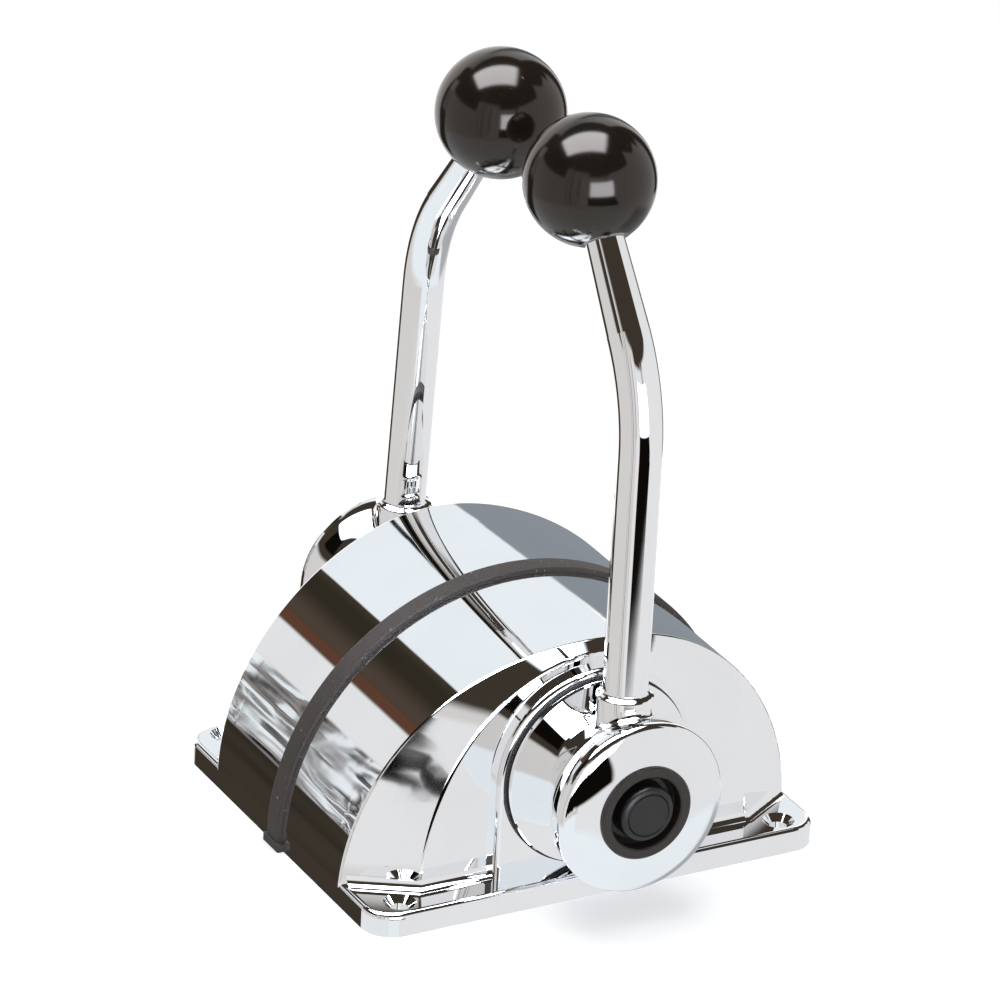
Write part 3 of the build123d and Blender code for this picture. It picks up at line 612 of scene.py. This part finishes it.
class HELM_OT_button_springs(Operator):
    """Wind the return springs of the push buttons."""
    bl_idname = "helm.button_springs"
    bl_label = "Button springs"

    def execute(self, context):
        settings = context.scene.helm_spring
        works = context.scene.helm_works
        wire = machined_metal("return_spring_wire", works.spring, settings.roughness, works)
        for side in SIDES:
            self.wind(context, side, wire, settings)
        return {"FINISHED"}

    def wind(self, context, side, wire, settings):
        """Spring between the hub nut, where it stands still, and the cap that presses it."""
        low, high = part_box(f"{side}_button_spring")
        inner, outer = sorted((low.y, high.y), key=abs)
        seat = Vector(((low.x + high.x) / 2, inner, (low.z + high.z) / 2))
        height = outer - inner
        radius = (high.x - low.x - settings.wire) / 2
        rings = self.coil(seat, height, radius, settings)
        spring = add_piece(context, skin(f"{side}_return_spring", rings), wire)
        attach(spring, f"{side}_lever")
        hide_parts(f"{side}_button_spring")
        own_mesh(spring)

    def coil(self, seat, height, radius, settings):
        """Rings round the wire, along a helix that rises from its seat along the Y axis."""
        half_wire = settings.wire / 2
        along = Vector((0, math.copysign(1, height), 0))
        rise = abs(height) - settings.wire
        points = round(settings.turns * settings.steps)
        rings = []
        for step in range(points + 1):
            angle = FULL_TURN * settings.turns * step / points
            out = Vector((math.cos(angle), 0, math.sin(angle)))
            centre = seat + along * (half_wire + rise * step / points) + out * radius
            turns = [FULL_TURN * section / settings.sections for section in range(settings.sections)]
            rings.append([centre + (out * math.cos(turn) + along * math.sin(turn)) * half_wire
                          for turn in turns])
        return rings


# ---- Studio ------------------------------------------------------------------
class HELM_OT_studio(Operator):
    """Set up the floor, the lights, the surroundings and the camera."""
    bl_idname = "helm.studio"
    bl_label = "Studio"

    def execute(self, context):
        settings = context.scene.helm_studio
        self.lay_floor(context, settings)
        self.hang_lights(context, settings)
        self.paint_surroundings(context, settings)
        self.place_camera(context, settings)
        context.scene.view_settings.view_transform = "Standard"
        return {"FINISHED"}

    def lay_floor(self, context, settings):
        half = settings.floor_width / 2
        edge = [(-half, -half, 0), (half, -half, 0), (half, half, 0), (-half, half, 0)]
        mesh = bpy.data.meshes.new("floor")
        mesh.from_pydata(edge, [], [tuple(range(len(edge)))])
        floor = add_piece(context, mesh, self.floor_paper(settings))
        floor.visible_glossy = False

    def floor_paper(self, settings):
        """Matt paper that looks white to the camera and still takes shadows."""
        material = bpy.data.materials.new("floor_paper")
        tree = Tree(material)
        paper = tree.node("ShaderNodeBsdfDiffuse", {}, {"Color": settings.floor}, "BSDF")
        glow = tree.node("ShaderNodeEmission", {}, {"Color": settings.backdrop, "Strength": settings.glow},
                         "Emission")
        both = tree.node("ShaderNodeAddShader", {}, dict(enumerate((paper, glow))), "Shader")
        seen = tree.node("ShaderNodeLightPath", {}, {}, "Is Camera Ray")
        tree.close("ShaderNodeOutputMaterial", self.either(tree, seen, paper, both))
        return material

    def either(self, tree, share, low, high):
        """Shader that goes from `low` to `high` as `share` goes from 0 to 1."""
        inputs = {SHADER_SHARE: share, SHADER_LOW: low, SHADER_HIGH: high}
        return tree.node("ShaderNodeMixShader", {}, inputs, "Shader")

    def hang_lights(self, context, settings):
        data = bpy.data.lights.new("key_box", "AREA")
        data.energy = settings.key
        data.size = settings.key_width
        lamp = bpy.data.objects.new("key_box", data)
        lamp.location = settings.key_place
        lamp.visible_glossy = False
        context.scene.collection.objects.link(lamp)

    def paint_surroundings(self, context, settings):
        """Polished metal mirrors the studio, and everything else gets an even light."""
        world = bpy.data.worlds.new("studio")
        context.scene.world = world
        tree = Tree(world)
        room = Room(tree)
        colour = DARK_CLOTH
        for share, card in studio_cards():
            colour = tree.mix(share(room), colour, card(room) if callable(card) else card)
        studio = self.background(tree, colour, 1.0)
        even = self.background(tree, settings.backdrop, settings.ambient)
        white = self.background(tree, settings.backdrop, 1.0)
        camera_ray = tree.node("ShaderNodeLightPath", {}, {}, "Is Camera Ray")
        glossy_ray = camera_ray.other("Is Glossy Ray")
        seen = tree.maths("MAXIMUM", camera_ray, camera_ray.other("Is Transmission Ray"))
        lit = self.either(tree, glossy_ray, even, studio)
        tree.close("ShaderNodeOutputWorld", self.either(tree, seen, lit, white))

    def background(self, tree, colour, strength):
        inputs = {"Color": colour, "Strength": strength}
        return tree.node("ShaderNodeBackground", {}, inputs, "Background")

    def place_camera(self, context, settings):
        data = bpy.data.cameras.new("camera")
        data.sensor_fit = "HORIZONTAL"
        data.angle = settings.field
        camera = bpy.data.objects.new("camera", data)
        context.scene.collection.objects.link(camera)
        flat = math.cos(settings.elevation)
        back = Vector((math.sin(settings.azimuth) * flat, -math.cos(settings.azimuth) * flat,
                       math.sin(settings.elevation)))
        level = Vector((math.cos(settings.azimuth), math.sin(settings.azimuth), 0))
        up = back.cross(level)
        right = level * math.cos(settings.roll) + up * math.sin(settings.roll)
        up = back.cross(right)
        turned = Matrix((right, up, back)).transposed().to_4x4()
        camera.matrix_world = Matrix.Translation(Vector(settings.aim) + back * settings.distance) @ turned
        context.scene.camera = camera


# ---- What stands round the control -------------------------------------------
# Headings run anticlockwise from ahead and heights up from the horizon, both in
# degrees, and a turn is an angle about the Y axis, from straight up towards ahead.
DARK_CLOTH = (0.045, 0.036, 0.027)
BLACK = (0.004, 0.003, 0.002)
BROWN = (0.075, 0.055, 0.042)
OLIVE = (0.030, 0.025, 0.016)
RUST = (0.11, 0.050, 0.030)
GREY = (0.33, 0.31, 0.30)
SLATE = (0.26, 0.285, 0.315)
SHADED_PAPER = (0.42, 0.43, 0.44)
CREAM = (0.68, 0.66, 0.64)
PANEL = (0.81, 0.81, 0.82)
PAPER = (0.86, 0.91, 0.94)
LIT_PANEL = (1.2, 1.16, 1.14)
WINDOW = (7.5, 8.1, 9.3)
SOFTBOX = (9.0, 9.7, 10.7)

HEADING_SEAM = -165.0           # behind the control, where the headings start over
CONE = 0.787                    # share of Y in the rays that leave the dome towards port
CONE_EDGES = (0.72, 0.86)       # shares of Y between which the long strips hang
CONE_BLUR = 0.02
HORIZON = 0.2                   # share of Z from which the ceiling counts
HORIZON_BLUR = 0.1


class Room:
    """Directions of the rays that look at the surroundings."""

    def __init__(self, tree):
        self.tree = tree
        degrees = math.degrees(1)
        direction = tree.node("ShaderNodeTexCoord", {}, {}, "Generated")
        self.x = tree.node("ShaderNodeSeparateXYZ", {}, {"Vector": direction}, "X")
        self.y = self.x.other("Y")
        self.z = self.x.other("Z")
        heading = tree.maths("ARCTAN2", self.y, self.x) * degrees
        self.heading = tree.maths("WRAP", heading, HEADING_SEAM + 360, HEADING_SEAM)
        self.height = tree.maths("ARCSINE", self.z) * degrees
        self.turn = tree.maths("ARCTAN2", self.x, self.z) * degrees

    def along_strips(self, per_turn, per_share):
        """Place on the long strips, stretched along their turns and across them."""
        inputs = {"X": self.turn * per_turn, "Y": self.y * per_share}
        return self.tree.node("ShaderNodeCombineXYZ", {}, inputs, "Vector")


def flag(headings, heights, colour, blur=3.0, lean=(0.0, 0.0)):
    """Panel between two headings and two heights; each side leans by some headings per height."""
    def share(room):
        left = (room.heading - room.height * lean[0]).above(headings[0], blur)
        right = (room.heading - room.height * lean[1]).above(headings[1], blur)
        return left * (1 - right) * room.height.within(*heights, blur)
    return share, colour


def ceiling(middle, half_size, turned, colour, blur=0.08):
    """Level rectangle overhead, with its sizes as shares of its height above the control."""
    cosine, sine = math.cos(math.radians(turned)), math.sin(math.radians(turned))

    def share(room):
        over_x = room.x / room.z - middle[0]
        over_y = room.y / room.z - middle[1]
        along = abs(over_x * cosine + over_y * sine)
        across = abs(over_y * cosine - over_x * sine)
        inside = (1 - along.above(half_size[0], blur)) * (1 - across.above(half_size[1], blur))
        return inside * room.z.above(HORIZON, HORIZON_BLUR)
    return share, colour


def strip(turns, colour, blur=1.0, drift=0.0):
    """Long strip beyond the port side; its turn drifts as the ray points more to port."""
    def share(room):
        turn = room.turn - (room.y - CONE) * drift
        return turn.within(*turns, blur) * room.y.within(*CONE_EDGES, CONE_BLUR)
    return share, colour


def clutter(room):
    """Colour of a crowded shelf: bent bright and dark outlines."""
    place = room.along_strips(per_turn=0.07, per_share=95.0)
    outlines = room.tree.noise(place, length=1.0, detail=1.5, distortion=1.6)
    stops = [(0.30, BLACK), (0.40, GREY), (0.43, PAPER), (0.45, BLACK), (0.50, GREY), (0.54, PAPER),
             (0.60, PAPER), (0.61, BLACK), (0.66, GREY), (0.75, BLACK)]
    return room.tree.node("ShaderNodeValToRGB", {"stops": stops}, {"Fac": outlines}, "Color")


def cloth_folds(room):
    """Colour of dark cloth that hangs in soft folds."""
    folds = room.tree.noise(room.along_strips(per_turn=0.10, per_share=30.0), length=1.0, detail=2.0)
    return room.tree.mix(folds.above(edge=0.5, blur=0.12), OLIVE, DARK_CLOTH)


def studio_cards():
    """What stands round the control in the studio; each card hides those before it."""
    return (
        # Paper on the table, with a shadow on it ahead.
        flag((-200, 200), (-100, -24), PAPER, blur=1.0),
        flag((-28, 60), (-60, -30), SHADED_PAPER, blur=6.0),
        # Cream wall astern, with its posts.
        flag((-200, -122), (-28, 34), CREAM, blur=3.0),
        flag((-200, -166), (-4, 20), GREY, blur=4.0),
        flag((-152, -150.5), (-24, 60), DARK_CLOTH, blur=0.4),
        flag((-159, -157.5), (-24, 60), GREY, blur=0.4),
        flag((-139, -134), (-10, 26), GREY, blur=1.0),
        # Pale panels on the starboard side, with the post between them.
        flag((-136, -84), (-24, 27), PANEL, blur=2.0),
        flag((-90, -85), (-10, 30), GREY, blur=1.0, lean=(-0.15, -0.15)),
        flag((-84, 10), (-30, 30), PANEL, blur=1.5),
        flag((-62, 20), (20, 46), PANEL, blur=2.0, lean=(0.8, -1.0)),
        # Black flags at the foot of the panels and in their gap.
        flag((-121, -81.0), (-22, -7), BLACK, blur=0.8, lean=(0.0, -0.65)),
        flag((-125.45, -124.85), (-5.5, 26), BLACK, blur=0.06),
        # Panels ahead and to port, and the black flag above them.
        flag((0, 22), (-30, 20), PANEL, blur=3.0),
        flag((38, 112), (-30, 42), LIT_PANEL, blur=2.0),
        flag((122, 200), (-28, 17), CREAM, blur=3.0),
        flag((148, 182), (27, 50), BLACK, blur=2.0),
        # Window to starboard and the softbox overhead.
        flag((-118, -78), (-6, 18), WINDOW, blur=2.0),
        ceiling((-0.186, 0.135), (0.60, 0.36), -25.0, SOFTBOX),
        # What the dome mirrors, from its foot astern over the top to its foot ahead.
        strip((-180, -106), cloth_folds),
        strip((-106, -70), clutter),
        strip((-70, -50), PANEL),
        strip((-50, -44), RUST, blur=1.5),
        strip((-44, -20), BROWN, blur=0.6),
        strip((-36, -20), OLIVE, blur=6.0),
        strip((-20, 62), PAPER, blur=0.6),
        strip((17, 19.5), BLACK, blur=0.5, drift=540.0),
        strip((22, 24), BLACK, blur=0.5, drift=540.0),
        strip((57, 130), SLATE, blur=1.0, drift=-500.0),
    )


# ---- Add-on ------------------------------------------------------------------
OPERATORS = (
    HELM_OT_housings,
    HELM_OT_lever_hubs,
    HELM_OT_lever_arms,
    HELM_OT_foot_coves,
    HELM_OT_knobs,
    HELM_OT_buttons,
    HELM_OT_rubbers,
    HELM_OT_works,
    HELM_OT_button_springs,
    HELM_OT_studio,
)


class HELM_PT_sidebar(Panel):
    """Lists the pieces of the control."""
    bl_idname = "HELM_PT_sidebar"
    bl_label = "Helm control"
    bl_space_type = "VIEW_3D"
    bl_region_type = "UI"
    bl_category = "Helm control"

    def draw(self, context):
        for operator in OPERATORS:
            self.layout.operator(operator.bl_idname)
        for name, settings in SETTINGS.items():
            box = self.layout.box()
            for value in settings.__annotations__:
                box.prop(getattr(context.scene, name), value)


def register():
    for settings in SETTINGS.values():
        bpy.utils.register_class(settings)
    for name, settings in SETTINGS.items():
        setattr(bpy.types.Scene, name, PointerProperty(type=settings))
    for operator in OPERATORS:
        bpy.utils.register_class(operator)
    bpy.utils.register_class(HELM_PT_sidebar)


def unregister():
    bpy.utils.unregister_class(HELM_PT_sidebar)
    for operator in reversed(OPERATORS):
        bpy.utils.unregister_class(operator)
    for name in SETTINGS:
        delattr(bpy.types.Scene, name)
    for settings in reversed(SETTINGS.values()):
        bpy.utils.unregister_class(settings)


def main():
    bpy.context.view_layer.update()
    register()
    for operator in OPERATORS:
        group, name = operator.bl_idname.split(".")
        getattr(getattr(bpy.ops, group), name)()


if __name__ == "__main__":
    main()
